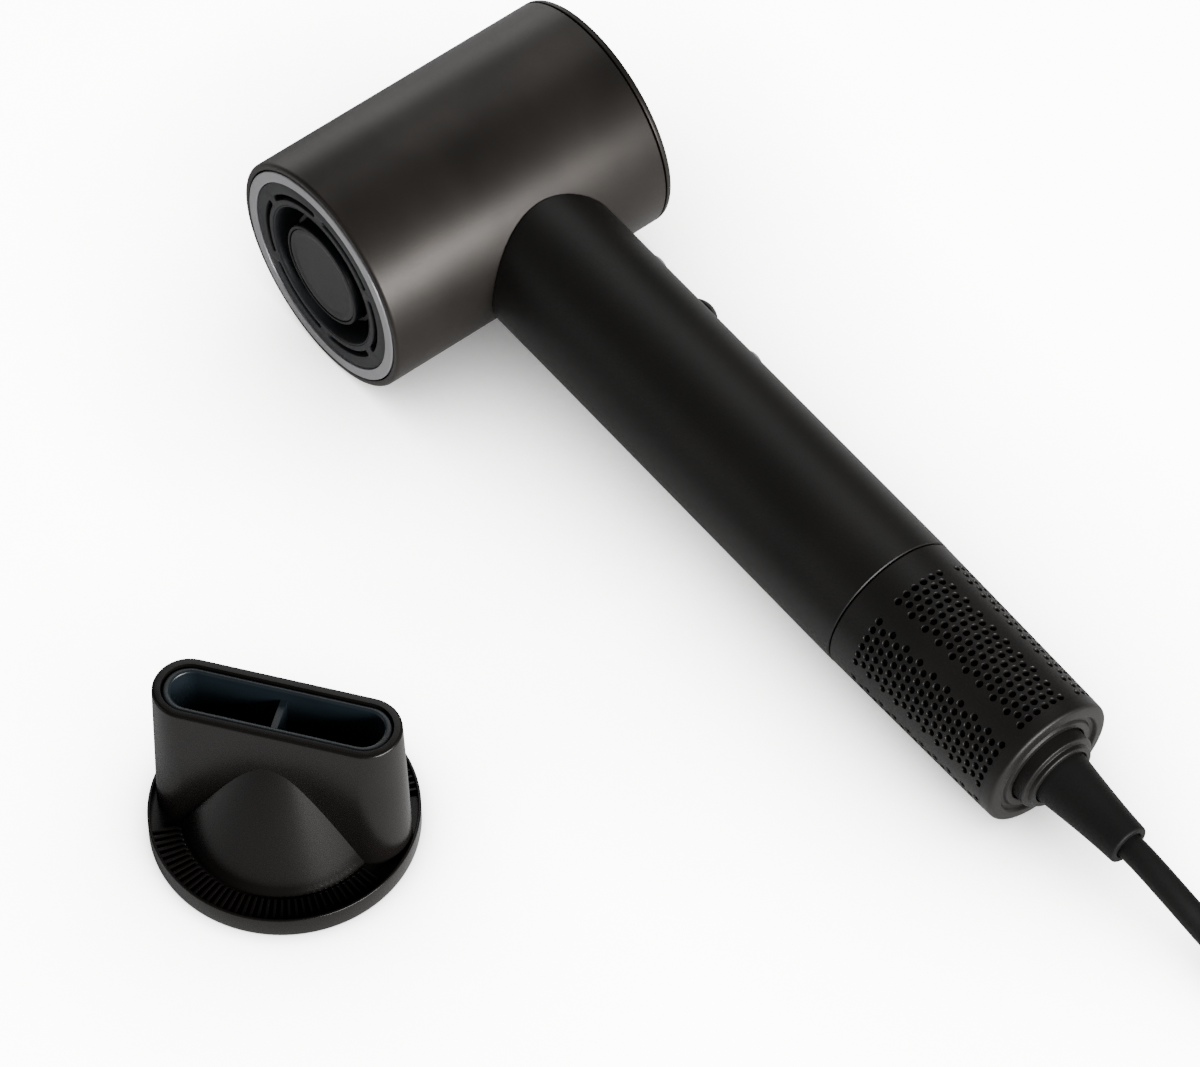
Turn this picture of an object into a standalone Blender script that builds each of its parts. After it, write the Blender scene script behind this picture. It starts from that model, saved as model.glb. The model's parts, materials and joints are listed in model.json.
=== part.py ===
"""Hair dryer with a perforated inlet cage and a loose concentrator nozzle.

The dryer lies on its side: the head's axis is level, the handle slopes down to the end of its cage,
and the nozzle stands on its base beside it. Sizes are in millimetres; MM turns them into metres.
"""
import math

import bmesh
import bpy
from mathutils import Matrix, Vector

MM = 0.001
GAP = 0.3  # clearance between neighbouring pieces

# Head: its own Z axis points out of the air outlet, from the crossing with the handle's axis.
HEAD_R = 36.0
HEAD_WALL = 2.1
HEAD_FRONT = 54.4
HEAD_SEAM = -41.4
HEAD_BACK = -43.6
FACE_R = 30.0  # the dark front inside the silver ring
OUTLET_R = 22.0  # outer edge of the air gap
CORE_R = 15.9  # inner edge of the air gap
SLOT_INNER = 0.81 * FACE_R
SLOT_OUTER = 0.87 * FACE_R
SLOTS = 6
SLOT_ARC = math.radians(48)

# Handle: its own Z axis runs away from the head, its X axis points to the back of the dryer.
HANDLE_R = 22.0
HANDLE_WALL = 2.0
HANDLE_LEAN = math.radians(1.4)
HANDLE_END = 181.0
CAGE_START = HANDLE_END + 0.4
CAGE_TOP_R = 21.9
CAGE_LOW_R = 20.95
CAGE_SHOULDER = 244.3
CAGE_END = 247.2
CAGE_HOLE_R = 12.9
COLLAR_R = 12.4
COLLAR_END = 252.2
COLLAR_STEP = COLLAR_END - 2.0
FLANGE_TOP = CAGE_END - 2.6
FLANGE_LOW = FLANGE_TOP - 3.6
RELIEF_ROOT_R = 8.7
RELIEF_TIP_R = 6.3
RELIEF_TIP = 279.6
CORD_RECESS = 3.0
BUTTON_TRAVEL = 1.0

# Perforations of the cage: panels around, each with rows of holes that step by half a pitch.
PANELS = 6
PANEL_ROWS = 7
ROW_PITCH = 7.8
HOLE_PITCH = 5.6
HOLE_R = 1.5
FIRST_ROW = 192.0

# Nozzle, from the crossing of the head's and the handle's axes.
NOZZLE_X = 121.6
NOZZLE_Y = -158.8
NOZZLE_TURN = math.radians(36.5)
NOZZLE_R = 37.2
NOZZLE_H = 54.0
MOUTH_HALF_LENGTH = 34.6
MOUTH_HALF_WIDTH = 10.0
SPOUT_FLARE = 1.3  # how much longer than its mouth the spout is at its base
NOZZLE_FLOOR = 4.2
RIBS_HALF = 9
RIB_FIRST = math.radians(26)

# Cord, coil and plug.
CORD_R = 3.9
COIL_X = 389.0
COIL_Y = 65.8
COIL_LIFT = 1.2  # thickness of the tie under the coil
COIL_MID_R = 46.8
COIL_TURNS_WIDE = 3
COIL_TURNS_HIGH = 2
PLUG_W = 34.0
PLUG_T = 18.0
PLUG_L = 36.0

# The handle slopes until the cage's shoulder touches the surface that the head lies on.
_reach = CAGE_SHOULDER * math.cos(HANDLE_LEAN)
HANDLE_SLOPE = math.asin(HEAD_R / math.hypot(_reach, CAGE_LOW_R)) - math.atan2(CAGE_LOW_R, _reach)

HEAD_AXIS = Vector((0, 1, 0))  # rearwards
DOWN_HANDLE = Vector((math.cos(HANDLE_SLOPE), 0, -math.sin(HANDLE_SLOPE)))
HANDLE_AXIS = math.cos(HANDLE_LEAN) * DOWN_HANDLE + math.sin(HANDLE_LEAN) * HEAD_AXIS
HANDLE_BACK = math.cos(HANDLE_LEAN) * HEAD_AXIS - math.sin(HANDLE_LEAN) * DOWN_HANDLE
HANDLE_UP = HANDLE_AXIS.cross(HANDLE_BACK)

# The origin is the middle of the underside of the box round the dryer and its nozzle.
_x_max = RELIEF_TIP * HANDLE_AXIS.x + RELIEF_TIP_R * math.hypot(HANDLE_BACK.x, HANDLE_UP.x)
_y_max = -HEAD_BACK
_y_min = NOZZLE_Y - NOZZLE_R
CROSSING = Vector((-(_x_max - HEAD_R) / 2, -(_y_max + _y_min) / 2, HEAD_R))


def clear_scene():
    for item in list(bpy.data.objects):
        bpy.data.objects.remove(item)


def collection(name):
    made = bpy.data.collections.new(name)
    bpy.context.scene.collection.children.link(made)
    return made


def material(name, colour, roughness, metallic=0.0):
    made = bpy.data.materials.new(name)
    made.use_nodes = True
    shader = made.node_tree.nodes["Principled BSDF"]
    shader.inputs["Base Color"].default_value = (*colour, 1)
    shader.inputs["Roughness"].default_value = roughness
    shader.inputs["Metallic"].default_value = metallic
    made.diffuse_color = (*colour, 1)
    return made


clear_scene()
PARTS = collection("hair_dryer")
CUTTERS = collection("cutters")

CASING = material("casing", (0.022, 0.019, 0.017), 0.38, 0.3)
HANDLE = material("handle_shell", (0.011, 0.010, 0.010), 0.55)
SILVER = material("silver_trim", (0.46, 0.46, 0.49), 0.3, 0.9)
GRILLE = material("grille", (0.065, 0.067, 0.072), 0.5)
DISC = material("outlet_disc", (0.068, 0.063, 0.063), 0.45)
INNER = material("inner_plastic", (0.02, 0.02, 0.022), 0.6)
GLOSS = material("nozzle_shell", (0.010, 0.009, 0.009), 0.25)
LINER = material("nozzle_liner", (0.025, 0.036, 0.045), 0.45)
RUBBER = material("cord_rubber", (0.016, 0.015, 0.014), 0.6)
STEEL = material("steel", (0.5, 0.5, 0.5), 0.3, 1.0)
MAGNET = material("magnet", (0.2, 0.2, 0.21), 0.4, 0.8)
MICA = material("mica", (0.55, 0.45, 0.3), 0.6)
BOARD = material("board", (0.02, 0.12, 0.05), 0.5)


def empty(name, location, axes=None):
    made = bpy.data.objects.new(name, None)
    PARTS.objects.link(made)
    frame = Matrix.Identity(3) if axes is None else Matrix(axes).transposed()
    made.matrix_world = Matrix.Translation(location * MM) @ frame.to_4x4()
    return made


HEAD_FRAME = empty("head_frame", CROSSING, (Vector((1, 0, 0)), Vector((0, 0, 1)), -HEAD_AXIS))
HANDLE_FRAME = empty("handle_frame", CROSSING, (HANDLE_BACK, HANDLE_UP, HANDLE_AXIS))
_along = Vector((math.cos(NOZZLE_TURN), math.sin(NOZZLE_TURN), 0))
_across = Vector((-math.sin(NOZZLE_TURN), math.cos(NOZZLE_TURN), 0))
_nozzle_at = Vector((CROSSING.x + NOZZLE_X, CROSSING.y + NOZZLE_Y, 0))
NOZZLE_FRAME = empty("nozzle_frame", _nozzle_at, (_along, _across, Vector((0, 0, 1))))
_coil_at = Vector((CROSSING.x + COIL_X, CROSSING.y + COIL_Y, 0))
COIL_FRAME = empty("coil_frame", _coil_at)
# The cord leaves the coil a quarter turn after the coil's own X axis, along -X.
PLUG_FRAME = empty("plug_frame", _coil_at, (Vector((0, 1, 0)), Vector((-1, 0, 0)), Vector((0, 0, 1))))


def place(name, mesh, parent, finish, at=(0, 0, 0), turn=(0, 0, 0)):
    """One object; without a material it is a cutter."""
    made = bpy.data.objects.new(name, mesh)
    made.parent = parent
    made.location = Vector(at) * MM
    made.rotation_euler = turn
    if finish is None:
        CUTTERS.objects.link(made)
        made.hide_render = True
        made.display_type = "WIRE"
    else:
        PARTS.objects.link(made)
        mesh.materials.append(finish)
    return made


def turned(name, profile, parent, finish, steps=24, at=(0, 0, 0), turn=(0, 0, 0)):
    """A profile of (radius, height) points, outer side first and downwards, turned about Z."""
    points = [(radius * MM, 0, height * MM) for radius, height in profile]
    edges = [(i, i + 1) for i in range(len(points) - 1)]
    if profile[0][0] > 0:
        edges.append((len(points) - 1, 0))
    mesh = bpy.data.meshes.new(name)
    mesh.from_pydata(points, edges, [])
    made = place(name, mesh, parent, finish, at, turn)
    screw = made.modifiers.new("turn", "SCREW")
    screw.steps = steps
    screw.render_steps = steps
    screw.use_merge_vertices = True
    screw.merge_threshold = 0.00001
    return made


def rod(name, radius, low, high, parent, finish, steps=20, at=(0, 0, 0), turn=(0, 0, 0)):
    return turned(name, [(0, high), (radius, high), (radius, low), (0, low)],
                  parent, finish, steps, at, turn)


def ring(name, inner, outer, low, high, parent, finish, steps=20):
    return turned(name, [(outer, high), (outer, low), (inner, low), (inner, high)],
                  parent, finish, steps)


def boxes_mesh(name, size, places):
    """Equal boxes in one mesh, each at its own matrix."""
    shape = bmesh.new()
    for where in places:
        scale = Matrix.Diagonal((*(Vector(size) * MM), 1))
        bmesh.ops.create_cube(shape, size=1, matrix=where @ scale)
    mesh = bpy.data.meshes.new(name)
    shape.to_mesh(mesh)
    shape.free()
    return mesh


def box(name, low, high, parent, finish):
    middle = (Vector(low) + Vector(high)) / 2 * MM
    size = Vector(high) - Vector(low)
    return place(name, boxes_mesh(name, size, [Matrix.Translation(middle)]), parent, finish)


def boolean(target, other, operation):
    step = target.modifiers.new(other.name, "BOOLEAN")
    step.operation = operation
    step.solver = "EXACT"
    step.object = other
    return target


def prism(name, outline, low, high, parent, finish):
    """A closed outline of (x, y) points, anticlockwise, from low to high."""
    return loft(name, [(outline, low), (outline, high)], parent, finish)


def loft(name, levels, parent, finish):
    """Outlines of equal point count, from the lowest to the highest, joined and capped."""
    shape = bmesh.new()
    loops = [[shape.verts.new((x * MM, y * MM, height * MM)) for x, y in outline]
             for outline, height in levels]
    count = len(loops[0])
    for below, above in zip(loops, loops[1:]):
        for i in range(count):
            j = (i + 1) % count
            shape.faces.new((below[i], below[j], above[j], above[i]))
    shape.faces.new(loops[0][::-1])
    shape.faces.new(loops[-1])
    mesh = bpy.data.meshes.new(name)
    shape.to_mesh(mesh)
    shape.free()
    return place(name, mesh, parent, finish)


def arc(radius, start, end, count, centre=(0, 0)):
    angles = [start + (end - start) * i / count for i in range(count + 1)]
    return [(centre[0] + radius * math.cos(a), centre[1] + radius * math.sin(a)) for a in angles]


def stadium(half_length, half_width, count=8):
    """A slot outline with round ends, along X."""
    straight = half_length - half_width
    right = arc(half_width, -math.pi / 2, math.pi / 2, count, (straight, 0))
    left = arc(half_width, math.pi / 2, 3 * math.pi / 2, count, (-straight, 0))
    return right + left


def spider(name, inner, outer, reach, arms, low, high, parent, finish):
    """A ring with flat arms that reach out from it."""
    hub = ring(name, inner, outer, low, high, parent, finish)
    root = (inner + outer) / 2
    middle = Matrix.Translation(Vector((root + reach, 0, low + high)) / 2 * MM)
    spins = [Matrix.Rotation(2 * math.pi * i / arms, 4, "Z") @ middle for i in range(arms)]
    size = (reach - root, 1.2, (high - low) * 0.8)
    return boolean(hub, place(name + "_arms", boxes_mesh(name + "_arms", size, spins), parent, None),
                   "UNION")


# ---------------------------------------------------------------- head

def head_shell():
    bore = HEAD_R - HEAD_WALL
    edge = HEAD_FRONT - GAP
    profile = [(bore + 0.7, edge), (HEAD_R - 0.4, edge - 0.4), (HEAD_R, edge - 1.3),
               (HEAD_R, HEAD_SEAM + GAP), (bore, HEAD_SEAM + GAP), (bore, edge)]
    shell = turned("head_shell", profile, HEAD_FRAME, CASING, 48)
    throat = rod("handle_opening", HANDLE_R - HANDLE_WALL - 0.5, 5, HEAD_R + 10, HANDLE_FRAME, None)
    return boolean(shell, throat, "DIFFERENCE")


def rear_cap():
    skirt = HEAD_R - HEAD_WALL - GAP - 0.2
    profile = [(0, HEAD_SEAM - 0.6), (skirt - 2, HEAD_SEAM - 0.6), (skirt - 2, HEAD_SEAM + 3),
               (skirt, HEAD_SEAM + 3), (skirt, HEAD_SEAM), (HEAD_R, HEAD_SEAM),
               (HEAD_R, HEAD_BACK + 1), (HEAD_R - 1, HEAD_BACK), (0, HEAD_BACK)]
    return turned("rear_cap", profile, HEAD_FRAME, CASING, 48)


def silver_ring():
    outer = 1.115 * FACE_R
    inner = FACE_R + 0.2
    profile = [(outer - 0.3, HEAD_FRONT), (outer, HEAD_FRONT - 0.3), (outer, HEAD_FRONT - 3.4),
               (inner, HEAD_FRONT - 3.4), (inner, HEAD_FRONT)]
    return turned("silver_ring", profile, HEAD_FRAME, SILVER, 48)


def outlet_grille():
    face = HEAD_FRONT - 0.4
    tube_end = HEAD_FRONT - 9.9
    rim = FACE_R - 0.2
    profile = [(rim, face), (rim, face - 2.2), (OUTLET_R + 2, face - 2.2),
               (OUTLET_R + 1.6, tube_end), (OUTLET_R + 0.3, tube_end), (OUTLET_R, face - 1.4),
               (OUTLET_R + 0.4, face - 0.4), (OUTLET_R + 1.2, face)]
    grille = turned("outlet_grille", profile, HEAD_FRAME, GRILLE, 36)
    for i in range(SLOTS):
        start = 2 * math.pi * i / SLOTS - SLOT_ARC / 2
        outline = (arc(SLOT_OUTER, start, start + SLOT_ARC, 4)
                   + arc(SLOT_INNER, start + SLOT_ARC, start, 4))
        slot = prism(f"face_slot_{i + 1}", outline, face - 4, face + 2, HEAD_FRAME, None)
        boolean(grille, slot, "DIFFERENCE")
    return grille


def centre_core():
    rim = HEAD_FRONT - 0.5
    seat = rim - 3.3
    profile = [(0, seat), (CORE_R - 0.8, seat), (CORE_R - 0.8, rim - 0.3), (CORE_R - 0.3, rim),
               (CORE_R, rim - 0.3), (CORE_R, 40), (CORE_R - 0.9, 20), (11, 6), (4, 0), (0, -1)]
    turned("centre_core", profile, HEAD_FRAME, INNER)
    face = rim - 0.2
    disc = CORE_R - 1.1
    profile = [(0, face), (disc - 0.4, face), (disc, face - 0.3), (disc, seat + GAP), (0, seat + GAP)]
    turned("centre_disc", profile, HEAD_FRAME, DISC)
    spider("core_spider", CORE_R + GAP, CORE_R + 1.4, OUTLET_R - GAP, 3, 46, 49, HEAD_FRAME, INNER)


def outlet_duct():
    front = HEAD_FRONT - 10.4
    outer = OUTLET_R + 2.6
    profile = [(outer, front), (outer, 5), (31.5, -20), (30.3, -20.5), (outer - 1.2, 4.6),
               (outer - 1.2, front)]
    return turned("outlet_duct", profile, HEAD_FRAME, INNER)


def heater():
    ring("heater_former", 17.2, 18.0, -8, 40, HEAD_FRAME, MICA)
    radius, turns, per_turn, pitch, first = 20.2, 3, 12, 12.0, -2.0
    points = []
    for i in range(turns * per_turn + 1):
        angle = 2 * math.pi * i / per_turn
        height = first + pitch * i / per_turn
        points.append((radius * math.cos(angle), radius * math.sin(angle), height))
    tube("heater_element", points, 0.6, HEAD_FRAME, STEEL)
    box("thermal_cutout", (18.5, -3, -16), (23.5, 3, -10), HEAD_FRAME, STEEL)
    profile = [(0, -22), (0.8, -22), (1.0, -27), (3, -27.5), (3, -33), (0, -33)]
    turned("ion_emitter", profile, HEAD_FRAME, STEEL, 12, at=(0, 12, 0))


def tube(name, points, radius, parent, finish):
    """A round wire or cord along the points."""
    curve = bpy.data.curves.new(name, "CURVE")
    curve.dimensions = "3D"
    spline = curve.splines.new("POLY")
    spline.points.add(len(points) - 1)
    for made, point in zip(spline.points, points):
        made.co = (*(Vector(point) * MM), 1)
    curve.bevel_depth = radius * MM
    curve.bevel_resolution = 2
    curve.use_fill_caps = True
    return place(name, curve, parent, finish)


# ---------------------------------------------------------------- handle

BUTTONS = {  # name: (distance down the handle, radius, height of its dome, material)
    "speed_button": (54.8, 4.6, 2.4, SILVER),
    "power_button": (75.6, 5.6, 3.2, INNER),
    "heat_button": (96.4, 4.6, 2.4, SILVER),
}
SWITCH_TOP = 15.8
STEM_END = SWITCH_TOP + BUTTON_TRAVEL + GAP


def handle_tube():
    inner = HANDLE_R - HANDLE_WALL
    grip = turned("handle_tube", [(HANDLE_R - 0.3, HANDLE_END), (HANDLE_R, HANDLE_END - 0.3),
                                  (HANDLE_R, 15), (inner, 15), (inner, HANDLE_END)],
                  HANDLE_FRAME, HANDLE, 40)
    boolean(grip, rod("head_clearance", HEAD_R + GAP, -60, 60, HEAD_FRAME, None, 48), "DIFFERENCE")
    for name, (distance, radius, _, _) in BUTTONS.items():
        hole = rod(name + "_hole", radius + GAP, 10, 30, HANDLE_FRAME, None, 20,
                   (0, 0, distance), (0, math.pi / 2, 0))
        boolean(grip, hole, "DIFFERENCE")
    return grip


def button(name, distance, radius, dome, finish):
    """A domed cap with a flange inside the handle; its Z axis points out of the grip."""
    ball = (radius ** 2 + dome ** 2) / (2 * dome)
    half = math.asin(radius / ball)
    steps = 4
    cap = [(ball * math.sin(half * i / steps), dome - ball * (1 - math.cos(half * i / steps)))
           for i in range(steps + 1)]
    flange = STEM_END + 1.2 - HANDLE_R
    foot = STEM_END - HANDLE_R
    profile = cap + [(radius, flange), (radius + 1, flange), (radius + 1, foot), (0, foot)]
    turned(name, profile, HANDLE_FRAME, finish, 20, (HANDLE_R, 0, distance), (0, math.pi / 2, 0))


def controls():
    for name, (distance, radius, dome, finish) in BUTTONS.items():
        button(name, distance, radius, dome, finish)
        switch = name.replace("button", "switch")
        box(switch, (SWITCH_TOP - 1.5, -3, distance - 3), (SWITCH_TOP, 3, distance + 3),
            HANDLE_FRAME, INNER)
    box("control_board", (12.6, -6, 44), (SWITCH_TOP - 1.5 - GAP, 6, 106), HANDLE_FRAME, BOARD)


def motor():
    ring("motor_housing", 16.2, 17.4, 120, 164, HANDLE_FRAME, INNER)
    ring("motor_mount_upper", 17.7, 19.6, 124, 129, HANDLE_FRAME, RUBBER)
    ring("motor_mount_lower", 17.7, 19.6, 155, 160, HANDLE_FRAME, RUBBER)
    spider("stator_core", 7.6, 12.0, 15.7, 6, 130, 144, HANDLE_FRAME, STEEL)
    ring("rotor_magnet", 1.8, 7.0, 131, 143, HANDLE_FRAME, MAGNET)
    rod("motor_shaft", 1.5, 127, 159, HANDLE_FRAME, STEEL, 12)
    wheel = ring("impeller", 1.8, 7.0, 147, 158, HANDLE_FRAME, STEEL)
    blades, root, tip = 9, 6.0, 15.5
    middle = Matrix.Translation(Vector((root + tip, 0, 2 * 152.5)) / 2 * MM)
    tilt = Matrix.Rotation(math.radians(40), 4, "X")
    spins = [Matrix.Rotation(2 * math.pi * i / blades, 4, "Z") @ middle @ tilt
             for i in range(blades)]
    fan = place("impeller_blades", boxes_mesh("impeller_blades", (tip - root, 0.9, 9), spins),
                HANDLE_FRAME, None)
    boolean(wheel, fan, "UNION")


# ---------------------------------------------------------------- inlet

def filter_cage():
    """The cage, with a rounded shoulder, a groove in its end face and a hole for the collar."""
    wall = 1.5
    face = CAGE_END - 0.5
    shoulder = CAGE_END - CAGE_SHOULDER
    rounding = [(CAGE_LOW_R - shoulder + shoulder * math.sin(a),
                 CAGE_SHOULDER + shoulder * math.cos(a))
                for a in (0, math.pi / 6, math.pi / 3, math.pi / 2)]
    profile = [(CAGE_HOLE_R, face), (CAGE_HOLE_R + 1.8, face), (CAGE_HOLE_R + 2.2, face - 0.6),
               (CAGE_HOLE_R + 3.4, face - 0.6), (CAGE_HOLE_R + 3.8, CAGE_END)]
    profile += rounding
    profile += [(CAGE_TOP_R, CAGE_START), (CAGE_TOP_R - wall, CAGE_START),
                (CAGE_LOW_R - wall, CAGE_SHOULDER - 1), (CAGE_LOW_R - wall - 1.2, CAGE_END - 2),
                (CAGE_HOLE_R, CAGE_END - 2)]
    cage = turned("filter_cage", profile, HANDLE_FRAME, HANDLE, 36)
    return boolean(cage, perforations(), "DIFFERENCE")


def perforations():
    """Six-sided pins through the cage, in panels of rows that hold two holes and one in turn."""
    shape = bmesh.new()
    for panel in range(PANELS):
        middle = 2 * math.pi * (panel + 0.5) / PANELS
        for row in range(PANEL_ROWS):
            holes = 2 - row % 2
            for i in range(holes):
                angle = middle + (i - (holes - 1) / 2) * HOLE_PITCH / CAGE_LOW_R
                spin = Matrix.Rotation(angle, 4, "Z")
                out = Matrix.Translation(Vector((CAGE_LOW_R, 0, FIRST_ROW + row * ROW_PITCH)) * MM)
                bmesh.ops.create_cone(shape, cap_ends=True, segments=6, radius1=HOLE_R * MM,
                                      radius2=HOLE_R * MM, depth=5 * MM,
                                      matrix=spin @ out @ Matrix.Rotation(math.pi / 2, 4, "Y"))
    mesh = bpy.data.meshes.new("perforations")
    shape.to_mesh(mesh)
    shape.free()
    return place("perforations", mesh, HANDLE_FRAME, None)


def inlet_frame():
    """The fixed tube under the cage, with a window in line with each panel of holes."""
    frame = ring("inlet_frame", 15.8, 17.0, 168, FLANGE_LOW - GAP, HANDLE_FRAME, INNER)
    middle = Matrix.Translation(Vector((16.4, 0, 211.5)) * MM)
    spins = [Matrix.Rotation(2 * math.pi * (i + 0.5) / PANELS, 4, "Z") @ middle
             for i in range(PANELS)]
    windows = place("inlet_windows", boxes_mesh("inlet_windows", (6, 10, 48), spins),
                    HANDLE_FRAME, None)
    boolean(frame, windows, "DIFFERENCE")
    ring("filter_sleeve", 17.9, 18.6, 186, FLANGE_LOW - GAP, HANDLE_FRAME, INNER)


def end_collar():
    recess = RELIEF_ROOT_R + 0.4
    profile = [(COLLAR_R - 1.4, COLLAR_END), (COLLAR_R - 1.4, COLLAR_STEP),
               (COLLAR_R - 0.4, COLLAR_STEP), (COLLAR_R, COLLAR_STEP - 0.4), (COLLAR_R, FLANGE_TOP),
               (16.8, FLANGE_TOP), (16.8, FLANGE_LOW), (4.5, FLANGE_LOW), (4.5, COLLAR_END - 4.5),
               (recess, COLLAR_END - 4.5), (recess, COLLAR_END)]
    return turned("end_collar", profile, HANDLE_FRAME, INNER)


def strain_relief():
    """A concave taper, with a recess at its tip that the cord comes out of."""
    root = COLLAR_END - 4.5 + GAP
    steps = 5
    length = RELIEF_TIP - 0.6 - COLLAR_END
    flare = [(RELIEF_TIP_R + (RELIEF_ROOT_R - RELIEF_TIP_R) * (i / steps) ** 1.4,
              RELIEF_TIP - 0.6 - length * i / steps) for i in range(steps + 1)]
    recess = CORD_R + 0.4
    profile = [(0, RELIEF_TIP - CORD_RECESS), (recess, RELIEF_TIP - CORD_RECESS),
               (recess, RELIEF_TIP), (RELIEF_TIP_R - 0.6, RELIEF_TIP)]
    profile += flare + [(RELIEF_ROOT_R, root), (0, root)]
    return turned("strain_relief", profile, HANDLE_FRAME, RUBBER)


# ---------------------------------------------------------------- nozzle

def nozzle_base():
    low, high = 29.6, 33.6  # groove for the magnet
    rim = NOZZLE_R - 1.0
    top = 7.0
    profile = [(NOZZLE_R - 0.5, top), (NOZZLE_R, top - 0.5), (NOZZLE_R, 0.5), (NOZZLE_R - 0.5, 0),
               (high, 0), (high, 3.2), (low, 3.2), (low, 0), (25.6, 0), (25.6, NOZZLE_FLOOR),
               (rim, NOZZLE_FLOOR), (rim, top)]
    base = turned("nozzle_base", profile, NOZZLE_FRAME, GLOSS, 48)
    ring("nozzle_magnet", low + GAP, high - GAP, 0.5, 2.9, NOZZLE_FRAME, MAGNET, 48)
    inner, outer, height = 28.6, rim + 0.3, 1.4
    middle = Matrix.Translation(Vector((inner + outer, 0, 2 * NOZZLE_FLOOR + height - 0.5)) / 2 * MM)
    step = (math.pi - 2 * RIB_FIRST) / (RIBS_HALF - 1)
    spins = [Matrix.Rotation(side * math.pi + RIB_FIRST + step * i, 4, "Z") @ middle
             for side in (0, 1) for i in range(RIBS_HALF)]
    ribs = place("nozzle_ribs", boxes_mesh("nozzle_ribs", (outer - inner, 1.2, height + 0.5), spins),
                 NOZZLE_FRAME, None)
    return boolean(base, ribs, "UNION")


def nozzle_shell():
    """A slot-shaped spout that flares a little to the base, with a cone swelling from each face."""
    low = NOZZLE_FLOOR + GAP
    length, width = MOUTH_HALF_LENGTH, MOUTH_HALF_WIDTH
    shell = loft("nozzle_shell", [(stadium(length + SPOUT_FLARE, width + 0.3), low),
                                  (stadium(length, width), NOZZLE_H - 0.6),
                                  (stadium(length - 0.5, width - 0.5), NOZZLE_H)],
                 NOZZLE_FRAME, GLOSS)
    cone_r, cone_top_r, cone_top = 27.4, 6.0, 46.5
    cone = turned("nozzle_cone", [(0, cone_top), (cone_top_r, cone_top), (cone_r, low), (0, low)],
                  NOZZLE_FRAME, None, 36)
    boolean(shell, cone, "UNION")
    wall = 2.2
    throat = 28.0  # the liner stands on this step
    lower = loft("nozzle_lower_bore", [(stadium(length + SPOUT_FLARE - wall, width + 0.3 - wall), low - 1),
                                       (stadium(length - wall - 1, width - wall - 1), throat + 1)],
                 NOZZLE_FRAME, None)
    slope = (cone_r - cone_top_r) / (cone_top - low)
    inner_top = throat + 4
    inner_cone = turned("nozzle_cone_bore", [(0, inner_top),
                                             (cone_r - wall - slope * (inner_top - low), inner_top),
                                             (cone_r - wall + slope, low - 1), (0, low - 1)],
                        NOZZLE_FRAME, None, 36)
    mouth = prism("nozzle_mouth_bore", stadium(length - wall - 0.2, width - wall), throat,
                  NOZZLE_H + 2, NOZZLE_FRAME, None)
    for cutter in (lower, inner_cone, mouth):
        boolean(shell, cutter, "DIFFERENCE")
    return shell


def nozzle_liner():
    """The slot tube inside the spout, with a divider across its middle."""
    length, width = MOUTH_HALF_LENGTH - 2.75, MOUTH_HALF_WIDTH - 2.55
    low, high = 34.0, NOZZLE_H - 0.8
    liner = prism("nozzle_liner", stadium(length, width), low, high, NOZZLE_FRAME, LINER)
    bore = prism("nozzle_liner_bore", stadium(length - 2.2, width - 1.7), low - 2, high + 2,
                 NOZZLE_FRAME, None)
    boolean(liner, bore, "DIFFERENCE")
    divider = box("nozzle_divider", (-0.9, -width + 0.5, low + 2), (0.9, width - 0.5, high - 4),
                  NOZZLE_FRAME, None)
    return boolean(liner, divider, "UNION")


# ---------------------------------------------------------------- cord

def smooth(points, count):
    """Read evenly along a Catmull-Rom curve through the points."""
    points = [Vector(p) for p in points]
    padded = [2 * points[0] - points[1]] + points + [2 * points[-1] - points[-2]]
    dense = []
    for a, b, c, d in zip(padded, padded[1:], padded[2:], padded[3:]):
        for i in range(20):
            t = i / 20
            dense.append(0.5 * (2 * b + (c - a) * t + (2 * a - 5 * b + 4 * c - d) * t * t
                                + (3 * b - a - 3 * c + d) * t ** 3))
    dense.append(points[-1])
    return [dense[round(i * (len(dense) - 1) / count)] for i in range(count + 1)]


CORD_LAY = CORD_R + 0.1  # height of the cord's middle where it lies on the surface
COIL_RADIUS_OUT = COIL_MID_R + COIL_TURNS_WIDE * CORD_R
COIL_HEIGHT = COIL_TURNS_HIGH * 2 * CORD_R
TURN_R_OUT = COIL_RADIUS_OUT - CORD_R
COIL_ENTRY = 31.0  # how far short of the coil's middle line the straight ends stop


def cord_route():
    """From the strain relief to the edge of the coil, in millimetres from the axes' crossing."""
    start = HANDLE_AXIS * (RELIEF_TIP - CORD_RECESS + GAP) + Vector((0, 0, HEAD_R))
    tip = HANDLE_AXIS * (RELIEF_TIP + 6) + Vector((0, 0, HEAD_R))
    coil_side = (COIL_X - COIL_ENTRY, COIL_Y - TURN_R_OUT, COIL_LIFT + CORD_R)
    return [start, tip, (297, 7.5, 15.7), (307, 8.5, 12.0), (318, 9.7, 8.0), (329, 10.7, 5.2),
            (340, 11.2, CORD_LAY), (349, 11.2, CORD_LAY + 0.3), coil_side]


def power_cord():
    base = Vector((CROSSING.x, CROSSING.y, 0))
    points = [base + p for p in smooth(cord_route(), 9)]
    tube("power_cord", points, CORD_R, None, RUBBER)


def cord_coil():
    ring("cord_coil", COIL_MID_R - COIL_TURNS_WIDE * CORD_R, COIL_RADIUS_OUT, COIL_LIFT,
         COIL_LIFT + COIL_HEIGHT, COIL_FRAME, RUBBER, 36)


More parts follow.
